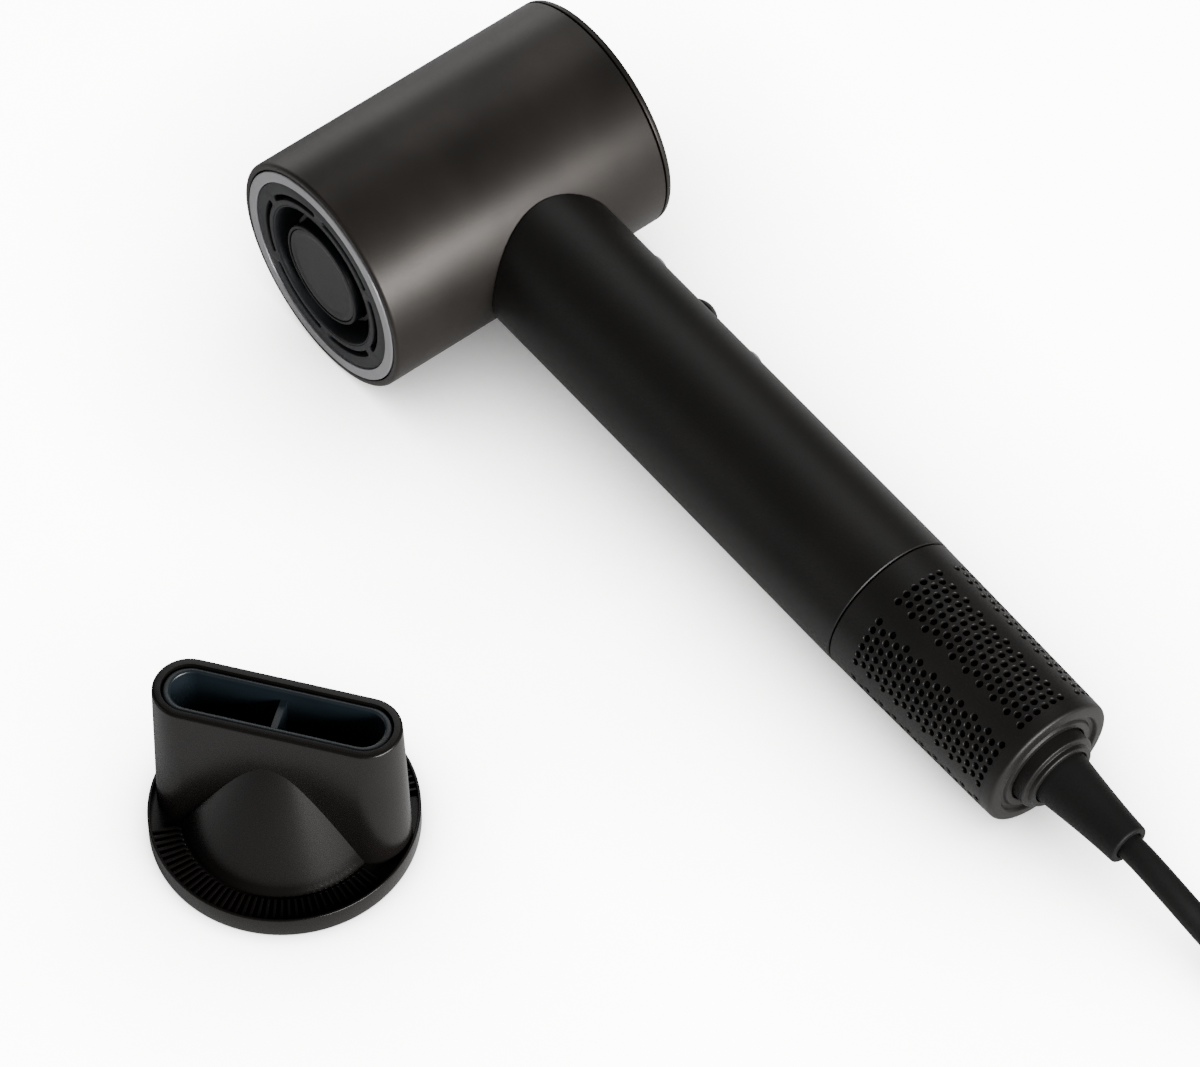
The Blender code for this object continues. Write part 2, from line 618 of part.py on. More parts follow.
def cord_tie():
    """A strap round the bundle, on the side away from the dryer."""
    thickness, width = 0.8, 12.0
    half = COIL_TURNS_WIDE * CORD_R + 0.9
    side = (COIL_MID_R, 0, 0)
    strap = box("cord_tie", (-half - thickness, -width / 2, 0),
                (half + thickness, width / 2, COIL_LIFT + COIL_HEIGHT + GAP + thickness),
                COIL_FRAME, RUBBER)
    inside = box("tie_opening", (-half, -width, thickness),
                 (half, width, COIL_LIFT + COIL_HEIGHT + GAP), COIL_FRAME, None)
    spin = Matrix.Rotation(math.radians(60), 4, "Z") @ Matrix.Translation(Vector(side) * MM)
    strap.matrix_local = spin
    inside.matrix_local = spin
    boolean(strap, inside, "DIFFERENCE")


PLUG_X = TURN_R_OUT + 3
PLUG_Y = 60.0


def plug():
    """A flat moulded plug with a cord sleeve and two round pins, lying beside the coil."""
    outline = arc(7, -math.pi / 2, 0, 4, (PLUG_W / 2 - 7, PLUG_Y + 8 + 7))
    outline += arc(4, 0, math.pi / 2, 3, (PLUG_W / 2 - 4, PLUG_Y + 8 + PLUG_L - 4))
    outline += [(-x, y) for x, y in reversed(outline)]
    body = prism("plug_body", [(PLUG_X + x, y) for x, y in outline], 0, PLUG_T, PLUG_FRAME, RUBBER)
    sleeve = rod("plug_sleeve", 6.0, 0, 14, PLUG_FRAME, None, 16,
                 (PLUG_X, PLUG_Y + 14, PLUG_T / 2), (math.pi / 2, 0, 0))
    boolean(body, sleeve, "UNION")
    for i, side in enumerate((-1, 1)):
        profile = [(0, 19), (1.6, 19), (2.4, 17.5), (2.4, GAP), (0, GAP)]
        turned(f"plug_pin_{i + 1}", profile, PLUG_FRAME, STEEL, 12,
               (PLUG_X + side * 9.5, PLUG_Y + 8 + PLUG_L, PLUG_T / 2), (-math.pi / 2, 0, 0))


def plug_lead():
    """The short end of the cord, from the top of the coil down to the plug."""
    high = COIL_LIFT + COIL_HEIGHT - CORD_R
    route = [(TURN_R_OUT, COIL_ENTRY, high), (TURN_R_OUT + 0.9, COIL_ENTRY + 9, high - 1.2),
             (PLUG_X - 0.6, PLUG_Y - 10, PLUG_T / 2 + 0.5), (PLUG_X, PLUG_Y - GAP, PLUG_T / 2)]
    tube("plug_lead", smooth(route, 4), CORD_R, PLUG_FRAME, RUBBER)


head_shell()
rear_cap()
silver_ring()
outlet_grille()
centre_core()
outlet_duct()
heater()
ring("outlet_magnet", 26.6, 29.4, 48.4, 51.2, HEAD_FRAME, MAGNET)
handle_tube()
controls()
motor()
filter_cage()
inlet_frame()
end_collar()
strain_relief()
nozzle_base()
nozzle_shell()
nozzle_liner()
power_cord()
cord_coil()
cord_tie()
plug_lead()
plug()
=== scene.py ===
"""Looks of the hair dryer: finished shells, the perforated cage, nozzle, buttons and cord.

Sizes are in millimetres in each piece's own frame; MM turns them into metres.
"""
import json
import math

import bmesh
import bpy
from mathutils import Matrix, Vector


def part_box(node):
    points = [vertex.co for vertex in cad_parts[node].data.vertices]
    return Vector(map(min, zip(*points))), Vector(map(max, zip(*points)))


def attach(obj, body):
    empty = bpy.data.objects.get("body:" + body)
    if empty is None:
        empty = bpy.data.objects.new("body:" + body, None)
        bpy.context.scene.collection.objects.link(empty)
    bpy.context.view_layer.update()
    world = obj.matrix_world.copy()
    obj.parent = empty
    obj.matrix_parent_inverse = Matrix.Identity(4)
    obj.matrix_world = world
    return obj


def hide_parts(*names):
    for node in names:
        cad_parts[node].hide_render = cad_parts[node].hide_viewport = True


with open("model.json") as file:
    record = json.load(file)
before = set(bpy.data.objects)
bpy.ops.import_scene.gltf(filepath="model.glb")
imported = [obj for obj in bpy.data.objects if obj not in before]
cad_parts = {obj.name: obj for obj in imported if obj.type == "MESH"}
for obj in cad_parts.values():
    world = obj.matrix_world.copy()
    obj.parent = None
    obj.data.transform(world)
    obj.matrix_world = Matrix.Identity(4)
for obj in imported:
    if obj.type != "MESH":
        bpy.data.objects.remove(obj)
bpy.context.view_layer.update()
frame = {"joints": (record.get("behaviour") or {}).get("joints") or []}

MM = 0.001
TURN = 2 * math.pi

# The design's driving sizes, as in the CAD part.
HEAD_R, HEAD_WALL, HEAD_FRONT, HEAD_SEAM, HEAD_BACK = 36.0, 2.1, 54.4, -41.4, -43.6
FACE_R, OUTLET_R, CORE_R = 30.0, 22.0, 15.9
HANDLE_R, HANDLE_WALL, HANDLE_END = 22.0, 2.0, 181.0
CAGE_START, CAGE_SHOULDER, CAGE_END = 181.4, 244.3, 247.2
CAGE_TOP_R, CAGE_LOW_R, CAGE_HOLE_R = 21.9, 20.95, 12.9
COLLAR_R, COLLAR_END = 12.4, 252.2
FLANGE_TOP = CAGE_END - 2.6
RELIEF_ROOT_R, RELIEF_TIP_R, RELIEF_TIP = 8.7, 6.3, 279.6
NOZZLE_X, NOZZLE_Y, NOZZLE_TURN = 121.6, -158.8, math.radians(36.5)
NOZZLE_R, NOZZLE_H, NOZZLE_FLOOR = 37.2, 54.0, 4.2
MOUTH_HALF_LENGTH, MOUTH_HALF_WIDTH, SPOUT_FLARE = 34.6, 10.0, 1.3
CORD_R = 3.9
COIL_X, COIL_Y, COIL_LIFT, COIL_MID_R = 389.0, 65.8, 1.2, 46.8
PLUG_W, PLUG_T, PLUG_L, PIN_SPREAD = 34.0, 18.0, 36.0, 9.5

# The handle's axis comes from the rotor's joint, and the axes cross where the head's middle is.
_spin = next(j for j in frame["joints"] if j["name"] == "rotor_spin")
_press = next(j for j in frame["joints"] if j["name"] == "power_press")
HANDLE_AXIS = Vector(_spin["axis"]).normalized()
HANDLE_BACK = -Vector(_press["axis"]).normalized()
HANDLE_UP = HANDLE_AXIS.cross(HANDLE_BACK)
_low, _high = (Vector(corner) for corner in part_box("head_shell"))
CROSSING = Vector(((_low.x + _high.x) / 2, _low.y + (HEAD_FRONT - 0.3) * MM, HEAD_R * MM))


def axes_frame(origin, x_axis, y_axis, z_axis):
    """The placement whose axes are the three given directions."""
    turn = Matrix((x_axis, y_axis, z_axis)).transposed().to_4x4()
    return Matrix.Translation(origin) @ turn


HEAD = axes_frame(CROSSING, Vector((1, 0, 0)), Vector((0, 0, 1)), Vector((0, -1, 0)))
HANDLE = axes_frame(CROSSING, HANDLE_BACK, HANDLE_UP, HANDLE_AXIS)
GROUND = Vector((CROSSING.x, CROSSING.y, 0))
NOZZLE = (Matrix.Translation(GROUND + Vector((NOZZLE_X, NOZZLE_Y, 0)) * MM)
          @ Matrix.Rotation(NOZZLE_TURN, 4, "Z"))
COIL = Matrix.Translation(GROUND + Vector((COIL_X, COIL_Y, 0)) * MM)
PLUG = COIL @ Matrix.Rotation(math.pi / 2, 4, "Z")


# ---------------------------------------------------------------- camera

def camera():
    """A long lens, high on the outlet's right."""
    data = bpy.data.cameras.new("camera")
    data.lens = 218.4
    data.sensor_width = 36
    made = bpy.data.objects.new("camera", data)
    bpy.context.scene.collection.objects.link(made)
    made.location = CROSSING + Vector((1.0540, -0.7680, 1.6036))
    made.rotation_euler = [math.radians(a) for a in (36.343, 0.363, 51.899)]
    data.clip_end = 20
    bpy.context.scene.camera = made


camera()


# ---------------------------------------------------------------- materials

PLASTIC_SHEEN = 0.22
GRAIN_DEPTH = 0.1 * MM
DRIFT_SCALE = 38


def new_material(name, colour, roughness, metallic=0.0, **sockets):
    """A Principled material whose uniform values sit on the shader's own sockets."""
    made = bpy.data.materials.new(name)
    made.use_nodes = True
    shader = made.node_tree.nodes["Principled BSDF"]
    shader.inputs["Base Color"].default_value = (*colour, 1)
    shader.inputs["Roughness"].default_value = roughness
    shader.inputs["Metallic"].default_value = metallic
    shader.inputs["Specular IOR Level"].default_value = 0.5 if metallic else PLASTIC_SHEEN
    for socket, value in sockets.items():
        shader.inputs[socket.replace("_", " ")].default_value = value
    return made


def noise(made, scale, detail):
    """A noise texture in object coordinates, in repeats per metre."""
    nodes, links = made.node_tree.nodes, made.node_tree.links
    coordinates = nodes.new("ShaderNodeTexCoord")
    texture = nodes.new("ShaderNodeTexNoise")
    texture.inputs["Scale"].default_value = scale
    texture.inputs["Detail"].default_value = detail
    links.new(coordinates.outputs["Object"], texture.inputs["Vector"])
    return texture


def vary(made, texture, socket, low, high):
    """Drive a socket between two values, or two colours, by the texture."""
    nodes, links = made.node_tree.nodes, made.node_tree.links
    shader = nodes["Principled BSDF"]
    ramp = nodes.new("ShaderNodeValToRGB")
    ramp.color_ramp.elements[0].position = 0.35
    ramp.color_ramp.elements[1].position = 0.65
    ends = [value if hasattr(value, "__len__") else (value,) * 3 for value in (low, high)]
    for element, value in zip(ramp.color_ramp.elements, ends):
        element.color = (*value, 1)
    links.new(texture.outputs["Fac"], ramp.inputs["Fac"])
    links.new(ramp.outputs["Color"], shader.inputs[socket])


def grain(made, texture, strength):
    """A fine bump from the texture."""
    nodes, links = made.node_tree.nodes, made.node_tree.links
    bump = nodes.new("ShaderNodeBump")
    bump.inputs["Strength"].default_value = strength
    bump.inputs["Distance"].default_value = GRAIN_DEPTH
    links.new(texture.outputs["Fac"], bump.inputs["Height"])
    links.new(bump.outputs["Normal"], nodes["Principled BSDF"].inputs["Normal"])


def moulded(name, colour, roughness, metallic=0.0, grain_scale=2600, grain_strength=0.12,
            shade=0.16, **sockets):
    """Fine-grained plastic or paint: soft colour drift, uneven gloss and a fine texture."""
    made = new_material(name, colour, roughness, metallic, **sockets)
    drift = noise(made, DRIFT_SCALE, 2)
    darker = [c * (1 - shade) for c in colour]
    lighter = [c * (1 + shade) for c in colour]
    vary(made, drift, "Base Color", darker, lighter)
    fine = noise(made, grain_scale, 2)
    vary(made, fine, "Roughness", roughness * 0.92, min(1.0, roughness * 1.08))
    grain(made, fine, grain_strength)
    return made


CASING = moulded("satin_casing", (0.030, 0.026, 0.023), 0.42, 0.6, 3200, 0.10)
GRIP = moulded("soft_matte_grip", (0.0070, 0.0062, 0.0056), 0.46, 0.0, 3000, 0.14,
               Specular_IOR_Level=0.32)
SILVER = moulded("satin_silver", (0.42, 0.42, 0.44), 0.36, 0.6, 4200, 0.06, 0.05)
GRILLE = moulded("grille_plastic", (0.028, 0.030, 0.034), 0.46, 0.0, 2600, 0.10)
DISC = moulded("disc_plastic", (0.030, 0.029, 0.030), 0.44, 0.0, 2600, 0.10)
INNER = moulded("inner_plastic", (0.0045, 0.0045, 0.005), 0.55, 0.0, 2200, 0.16)
DEEP = moulded("deep_plastic", (0.0045, 0.0055, 0.0070), 0.45, 0.0, 2200, 0.12)
NOZZLE_SKIN = moulded("nozzle_satin", (0.0070, 0.0060, 0.0055), 0.27, 0.0, 2600, 0.05,
                      Specular_IOR_Level=0.26)
LINER = moulded("nozzle_liner", (0.009, 0.015, 0.020), 0.36, 0.0, 2600, 0.08,
                Specular_IOR_Level=0.6)
RUBBER = moulded("cord_rubber", (0.0050, 0.0047, 0.0045), 0.60, 0.0, 1800, 0.16)
STEEL = moulded("bright_steel", (0.55, 0.55, 0.56), 0.28, 1.0, 3000, 0.08, 0.06)
MAGNET = moulded("magnet", (0.20, 0.20, 0.21), 0.38, 0.8, 2600, 0.10)
MICA = moulded("mica", (0.52, 0.42, 0.28), 0.6, 0.0, 900, 0.2, 0.25)
BOARD = moulded("circuit_board", (0.02, 0.11, 0.05), 0.45, 0.0, 1500, 0.15, 0.3)
BLACK_KEY = moulded("black_key", (0.003, 0.003, 0.003), 0.34, 0.0, 2600, 0.06)


# ---------------------------------------------------------------- mesh tools

def finish_mesh(name, shape, where, material, angle=32):
    """Turn a bmesh into a placed object, smooth-shaded with sharp edges past the angle."""
    bmesh.ops.recalc_face_normals(shape, faces=shape.faces)
    mesh = bpy.data.meshes.new(name)
    shape.to_mesh(mesh)
    shape.free()
    return add_object(name, mesh, where, material, angle)


def add_object(name, mesh, where, material, angle=32):
    mesh.transform(where)
    made = bpy.data.objects.new(name, mesh)
    bpy.context.scene.collection.objects.link(made)
    mesh.materials.clear()
    mesh.materials.append(material)
    smooth_edges(mesh, angle)
    return made


def smooth_edges(mesh, angle):
    mesh.shade_smooth()
    mesh.set_sharp_from_angle(angle=math.radians(angle))


CORNER_STEPS = 5


def rounded(corners, closed=False):
    """Points of an outline whose corners (x, y, radius) are rounded with short arcs."""
    points = []
    count = len(corners)
    for i, corner in enumerate(corners):
        here = Vector(corner[:2])
        radius = corner[2] if len(corner) > 2 else 0
        if radius == 0 or (not closed and i in (0, count - 1)):
            points.append(tuple(here))
            continue
        back = (Vector(corners[i - 1][:2]) - here).normalized()
        ahead = (Vector(corners[(i + 1) % count][:2]) - here).normalized()
        half = back.angle(ahead) / 2
        centre = here + (back + ahead).normalized() * radius / math.sin(half)
        first = here + back * radius / math.tan(half) - centre
        sweep = first.angle_signed(here + ahead * radius / math.tan(half) - centre)
        for step in range(CORNER_STEPS + 1):
            a = -sweep * step / CORNER_STEPS
            points.append((centre.x + first.x * math.cos(a) - first.y * math.sin(a),
                           centre.y + first.x * math.sin(a) + first.y * math.cos(a)))
    return points


def lathe(name, profile, where, material, steps=96, angle=32):
    """A closed (radius, height) outline turned about Z; it may be a function of the angle."""
    column = profile if callable(profile) else (lambda a: profile)
    shape = bmesh.new()
    columns = []
    for i in range(steps):
        a = TURN * i / steps
        columns.append([shape.verts.new((r * MM * math.cos(a), r * MM * math.sin(a), z * MM))
                        for r, z in column(a)])
    count = len(columns[0])
    on_axis = column(0)[0][0] == 0
    for i in range(steps):
        here, there = columns[i], columns[(i + 1) % steps]
        for j in range(count - 1 if on_axis else count):
            k = (j + 1) % count
            shape.faces.new((here[j], there[j], there[k], here[k]))
    if on_axis:
        bmesh.ops.remove_doubles(shape, verts=shape.verts, dist=1e-7)
    return finish_mesh(name, shape, where, material, angle)


def arc(radius, start, end, count, centre=(0, 0)):
    """Points along an arc, both ends included."""
    angles = [start + (end - start) * i / count for i in range(count + 1)]
    return [(centre[0] + radius * math.cos(a), centre[1] + radius * math.sin(a)) for a in angles]


def stadium(half_length, half_width, count=20):
    """The outline of a slot with round ends."""
    straight = half_length - half_width
    right = arc(half_width, -math.pi / 2, math.pi / 2, count, (straight, 0))
    left = arc(half_width, math.pi / 2, 3 * math.pi / 2, count, (-straight, 0))
    return right + left


def loft(name, levels, where, material, closed_loop=False, angle=32):
    """Outlines joined one above the other; capped, or joined last to first for a hollow."""
    shape = bmesh.new()
    loops = [[shape.verts.new((x * MM, y * MM, z * MM)) for x, y in outline]
             for outline, z in levels]
    count = len(loops[0])
    pairs = list(zip(loops, loops[1:]))
    if closed_loop:
        pairs.append((loops[-1], loops[0]))
    for below, above in pairs:
        for i in range(count):
            j = (i + 1) % count
            shape.faces.new((below[i], below[j], above[j], above[i]))
    if not closed_loop:
        shape.faces.new(loops[0])
        shape.faces.new(loops[-1])
    return finish_mesh(name, shape, where, material, angle)


def cut(target, *cutters, operation="DIFFERENCE", angle=32):
    """Apply Booleans and remove the cutters."""
    for cutter in cutters:
        step = target.modifiers.new("cut", "BOOLEAN")
        step.operation = operation
        step.solver = "EXACT"
        step.object = cutter
    evaluated = target.evaluated_get(bpy.context.evaluated_depsgraph_get())
    mesh = bpy.data.meshes.new_from_object(evaluated)
    target.modifiers.clear()
    target.data = mesh
    smooth_edges(mesh, angle)
    for cutter in cutters:
        bpy.data.objects.remove(cutter)
    return target


def joined(name, pieces):
    """One object from several, with each piece's own material."""
    shape = bmesh.new()
    mesh = bpy.data.meshes.new(name)
    for slot, piece in enumerate(pieces):
        for face in piece.data.polygons:
            face.material_index = slot
        mesh.materials.append(piece.data.materials[0])
        shape.from_mesh(piece.data)
    shape.to_mesh(mesh)
    shape.free()
    made = bpy.data.objects.new(name, mesh)
    bpy.context.scene.collection.objects.link(made)
    for piece in pieces:
        bpy.data.objects.remove(piece)
    return made


def settle(piece, body, slot, *nodes):
    """Say which body the piece moves with and which CAD nodes it replaces; slot, what it is made of,
    is not used.
    """
    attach(piece, body)
    if nodes:
        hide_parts(*nodes)
    return piece


# ---------------------------------------------------------------- cord

TURN_R_OUT = COIL_MID_R + 2 * CORD_R
COIL_ENTRY = 31.0
TURNS_IN, TURNS_OUT, POINTS_A_TURN = 2.9, 2.6, 28
PLUG_X = TURN_R_OUT + 3
PLUG_Y = 60.0
CORD_LAY = CORD_R + 0.1
CURVE_STEPS = 20


def smooth(points, count):
    """Read evenly along a Catmull-Rom curve through the points."""
    points = [Vector(p) for p in points]
    padded = [2 * points[0] - points[1]] + points + [2 * points[-1] - points[-2]]
    dense = []
    for a, b, c, d in zip(padded, padded[1:], padded[2:], padded[3:]):
        for i in range(CURVE_STEPS):
            t = i / CURVE_STEPS
            dense.append(0.5 * (2 * b + (c - a) * t + (2 * a - 5 * b + 4 * c - d) * t * t
                                + (3 * b - a - 3 * c + d) * t ** 3))
    dense.append(points[-1])
    return [dense[round(i * (len(dense) - 1) / count)] for i in range(count + 1)]


def lead_in():
    """From the strain relief to the coil, in millimetres from below the axes' crossing."""
    lift = Vector((0, 0, HEAD_R))
    start = HANDLE_AXIS * (RELIEF_TIP - 2.7) + lift
    tip = HANDLE_AXIS * (RELIEF_TIP + 6) + lift
    coil_side = (COIL_X - COIL_ENTRY, COIL_Y - TURN_R_OUT, COIL_LIFT + CORD_R)
    return [start, tip, (297, 7.5, 15.7), (307, 8.5, 12.0), (318, 9.7, 8.0), (329, 10.7, 5.2),
            (340, 11.2, CORD_LAY), (349, 11.2, CORD_LAY + 0.3), coil_side]


def coil_turns():
    """Turns that close in on the surface, then as many that open out on top of them."""
    low, high = COIL_LIFT + CORD_R, COIL_LIFT + 3 * CORD_R
    climb_turns = 0.7
    points = []
    for i in range(int((TURNS_IN + TURNS_OUT) * POINTS_A_TURN) + 1):
        turn = i / POINTS_A_TURN
        angle = -math.pi / 2 + TURN * turn
        inward = min(turn, TURNS_IN) / TURNS_IN
        outward = max(0.0, turn - TURNS_IN) / TURNS_OUT
        radius = TURN_R_OUT - 4 * CORD_R * ease(inward) + 4 * CORD_R * ease(outward)
        climb = min(1.0, max(0.0, (turn - TURNS_IN) / climb_turns + 0.5))
        height = low + (high - low) * ease(climb)
        points.append(Vector((COIL_X + radius * math.cos(angle), COIL_Y + radius * math.sin(angle),
                              height)))
    return points


def ease(t):
    """A smooth step from 0 to 1."""
    return t * t * (3 - 2 * t)


def lead_out():
    """From the top of the coil down to the plug."""
    high = COIL_LIFT + 3 * CORD_R
    route = [(TURN_R_OUT, COIL_ENTRY, high), (TURN_R_OUT + 0.9, COIL_ENTRY + 9, high - 1.2),
             (PLUG_X - 0.6, PLUG_Y - 10, PLUG_T / 2 + 0.5), (PLUG_X, PLUG_Y - 0.3, PLUG_T / 2)]
    return [Vector((COIL_X - y, COIL_Y + x, z)) for x, y, z in route]


def power_lead():
    """The cord from the strain relief to the plug; gives it, its exit and its length."""
    route = smooth(lead_in(), 18) + coil_turns() + smooth(lead_out(), 6)
    curve = bpy.data.curves.new("power_lead", "CURVE")
    curve.dimensions = "3D"
    spline = curve.splines.new("POLY")
    points = [GROUND + p * MM for p in route]
    spline.points.add(len(points) - 1)
    for made, point in zip(spline.points, points):
        made.co = (*point, 1)
    spline.use_smooth = True
    curve.bevel_depth = CORD_R * MM
    curve.bevel_resolution = 5
    curve.use_fill_caps = True
    curve.materials.append(RUBBER)
    lead = bpy.data.objects.new("power_lead", curve)
    bpy.context.scene.collection.objects.link(lead)
    settle(lead, "dryer", "cord_rubber", "power_cord", "cord_coil", "plug_lead")
    length = sum((b - a).length for a, b in zip(points, points[1:]))
    return lead, points[0], length


LEAD, LEAD_EXIT, LEAD_LENGTH = power_lead()


def plate(name, outlines, low, high, edge, where, material):
    """Flat outlines, the first outside and the others holes, as a plate with rounded edges."""
    curve = bpy.data.curves.new(name, "CURVE")
    curve.dimensions = "2D"
    curve.fill_mode = "BOTH"
    for outline in outlines:
        spline = curve.splines.new("POLY")
        spline.points.add(len(outline) - 1)
        for made, (x, y) in zip(spline.points, outline):
            made.co = (x * MM, y * MM, 0, 1)
        spline.use_cyclic_u = True
    curve.extrude = (high - low) / 2 * MM - edge * MM
    curve.bevel_depth = edge * MM
    curve.bevel_resolution = 3
    curve.offset = -edge * MM
    guide = bpy.data.objects.new(name + "_guide", curve)
    bpy.context.scene.collection.objects.link(guide)
    evaluated = guide.evaluated_get(bpy.context.evaluated_depsgraph_get())
    mesh = bpy.data.meshes.new_from_object(evaluated)
    bpy.data.objects.remove(guide)
    shape = bmesh.new()
    shape.from_mesh(mesh)
    bmesh.ops.remove_doubles(shape, verts=shape.verts, dist=2e-6)
    lift = Matrix.Translation((0, 0, (low + high) / 2 * MM))
    return finish_mesh(name, shape, where @ lift, material, 40)


def cord_tie():
    """A strap with rounded corners round the coil's bundle."""
    thick, width, half = 0.8, 12.0, 3 * CORD_R + 0.9
    place_on_coil = math.radians(60)
    top = COIL_LIFT + 4 * CORD_R + 0.3
    outer = rounded([(-half - thick, 0, 3), (half + thick, 0, 3), (half + thick, top + thick, 3),
                     (-half - thick, top + thick, 3)], closed=True)
    inner = rounded([(-half, thick, 2.4), (half, thick, 2.4), (half, top, 2.4), (-half, top, 2.4)],
                    closed=True)
    spin = Matrix.Rotation(place_on_coil, 4, "Z")
    stand = axes_frame(Vector((COIL_MID_R * MM, 0, 0)), Vector((1, 0, 0)), Vector((0, 0, 1)),
                       Vector((0, -1, 0)))
    strap = plate("tie_strap", [outer, inner], -width / 2, width / 2, 0.25, COIL @ spin @ stand,
                  RUBBER)
    settle(strap, "dryer", "cord_rubber", "cord_tie")


def plug():
    """Moulded plug body with rounded edges, a ribbed sleeve and two pins."""
    left, right = PLUG_X - PLUG_W / 2, PLUG_X + PLUG_W / 2
    near, far = PLUG_Y + 8, PLUG_Y + 8 + PLUG_L
    outline = rounded([(left, near, 7), (right, near, 7), (right, far, 4), (left, far, 4)],
                      closed=True)
    body = plate("plug_moulding", [outline], 0, PLUG_T, 2.6, PLUG, RUBBER)
    sleeve_axis = PLUG @ Matrix.Translation(Vector((PLUG_X, PLUG_Y + 14, PLUG_T / 2)) * MM)
    sleeve_axis = sleeve_axis @ Matrix.Rotation(math.pi / 2, 4, "X")
    steps = []
    for i in range(5):
        low = 2.4 * i
        rib, groove = 5.8 - 0.1 * i, 5.6 - 0.15 * i
        steps += [(groove, low + 0.5), (rib, low + 0.9), (rib, low + 2.0), (groove, low + 2.4)]
    profile = [(0, 0), (6.0, 0)] + steps + [(4.4, 13.6), (4.1, 14.0), (0, 14.0)]
    sleeve = lathe("plug_sleeve", profile, sleeve_axis, RUBBER, 48)
    moulding = joined("plug_moulded", [body, sleeve])
    settle(moulding, "dryer", "cord_rubber", "plug_body")
    made = [moulding]
    for i, side in enumerate((-1, 1)):
        at = Vector((PLUG_X + side * PIN_SPREAD, far, PLUG_T / 2)) * MM
        axis = PLUG @ Matrix.Translation(at) @ Matrix.Rotation(-math.pi / 2, 4, "X")
        outline = rounded([(0, 19), (2.4, 19, 1.6), (2.4, 9.0, 0.2), (0, 9.0)])
        tip = lathe(f"pin_tip_{i + 1}", outline, axis, STEEL, 32)
        outline = rounded([(0, 9.0), (2.1, 9.0, 0.1), (2.1, 0.1), (0, 0.1)])
        root = lathe(f"pin_sleeve_{i + 1}", outline, axis, INNER, 32)
        pin = joined(f"plug_pin_made_{i + 1}", [tip, root])
        settle(pin, "dryer", "steel", f"plug_pin_{i + 1}")
        made.append(pin)
    return made


cord_tie()
PLUG_PIECES = plug()
tuple(LEAD_EXIT)


# ---------------------------------------------------------------- head

def head():
    """The casing's tube, its dished back and the bright ring at its front."""
    bore = HEAD_R - HEAD_WALL
    front = HEAD_FRONT - 0.3
    profile = rounded([(bore, front, 0.3), (HEAD_R, front, 1.1), (HEAD_R, HEAD_SEAM + 0.3, 0.25),
                       (bore, HEAD_SEAM + 0.3)], closed=True)
    shell = lathe("casing_tube", profile, HEAD, CASING, 144)
    settle(shell, "dryer", "casing", "head_shell")
    profile = rounded([(0, HEAD_SEAM - 0.2), (HEAD_R - 0.3, HEAD_SEAM - 0.2, 0.1),
                       (HEAD_R, HEAD_SEAM, 0.2), (HEAD_R, HEAD_BACK, 1.4), (HEAD_R - 5, HEAD_BACK, 3),
                       (HEAD_R - 7.5, HEAD_BACK + 0.35, 3), (0, HEAD_BACK + 0.35)])
    settle(lathe("casing_back", profile, HEAD, CASING, 144), "dryer", "casing", "rear_cap")
    ring_outer, ring_inner = 1.115 * FACE_R, FACE_R + 0.12
    profile = rounded([(ring_inner, HEAD_FRONT, 0.25), (ring_outer, HEAD_FRONT, 0.35),
                       (ring_outer, HEAD_FRONT - 3.4), (ring_inner, HEAD_FRONT - 3.4)], closed=True)
    settle(lathe("bright_ring", profile, HEAD, SILVER, 144), "dryer", "silver_trim", "silver_ring")


def outlet():
    """The dark front: a slotted flat ring, the funnel inside it and the disc on its core."""
    face = HEAD_FRONT - 0.4
    slot_count, half = 6, math.radians(24)
    outer, inner = 0.87 * FACE_R, 0.81 * FACE_R
    mid, tip = (outer + inner) / 2, (outer - inner) / 2
    slots = []
    for i in range(slot_count):
        middle = TURN * i / slot_count
        start = (mid * math.cos(middle - half), mid * math.sin(middle - half))
        end = (mid * math.cos(middle + half), mid * math.sin(middle + half))
        slots.append(arc(outer, middle - half, middle + half, 24)
                     + arc(tip, middle + half, middle + half + math.pi, 8, end)[1:-1]
                     + arc(inner, middle + half, middle - half, 24)
                     + arc(tip, middle - half + math.pi, middle - half + TURN, 8, start)[1:-1])
    rim = arc(FACE_R - 0.1, 0, TURN, 144)[:-1]
    hole_r = 0.755 * FACE_R
    hole = arc(hole_r, 0, TURN, 144)[:-1]
    flat = plate("slotted_face", [rim, hole] + slots, face - 1.8, face, 0.22, HEAD, GRILLE)
    profile = rounded([(hole_r + 0.05, face - 0.1, 0.5), (hole_r + 0.05, face - 6),
                       (OUTLET_R + 1.4, HEAD_FRONT - 9.9), (OUTLET_R + 0.2, HEAD_FRONT - 9.9),
                       (OUTLET_R - 0.2, face - 3.5, 2), (OUTLET_R + 0.1, face - 0.1, 0.4)],
                      closed=True)
    lip = lathe("outlet_lip", profile, HEAD, GRILLE, 144)
    settle(joined("outlet_front", [flat, lip]), "dryer", "grille", "outlet_grille")
    seat = HEAD_FRONT - 3.8
    rim_z = HEAD_FRONT - 0.5
    profile = rounded([(0, seat), (CORE_R - 0.9, seat), (CORE_R - 0.9, rim_z, 0.2),
                       (CORE_R, rim_z, 0.4), (CORE_R, 40, 8), (CORE_R - 0.9, 20, 8), (11, 6, 6),
                       (4, 0, 3), (0, -1)])
    settle(lathe("core_body", profile, HEAD, DEEP, 96), "dryer", "inner_plastic", "centre_core")
    disc, top = CORE_R - 1.1, rim_z - 0.2
    profile = rounded([(0, top - 0.25), (disc - 2.4, top - 0.25, 3), (disc - 1.2, top, 1),
                       (disc, top, 0.35), (disc, seat + 0.3), (0, seat + 0.3)])
    settle(lathe("core_disc", profile, HEAD, DISC, 96), "dryer", "outlet_disc", "centre_disc")


# ---------------------------------------------------------------- handle

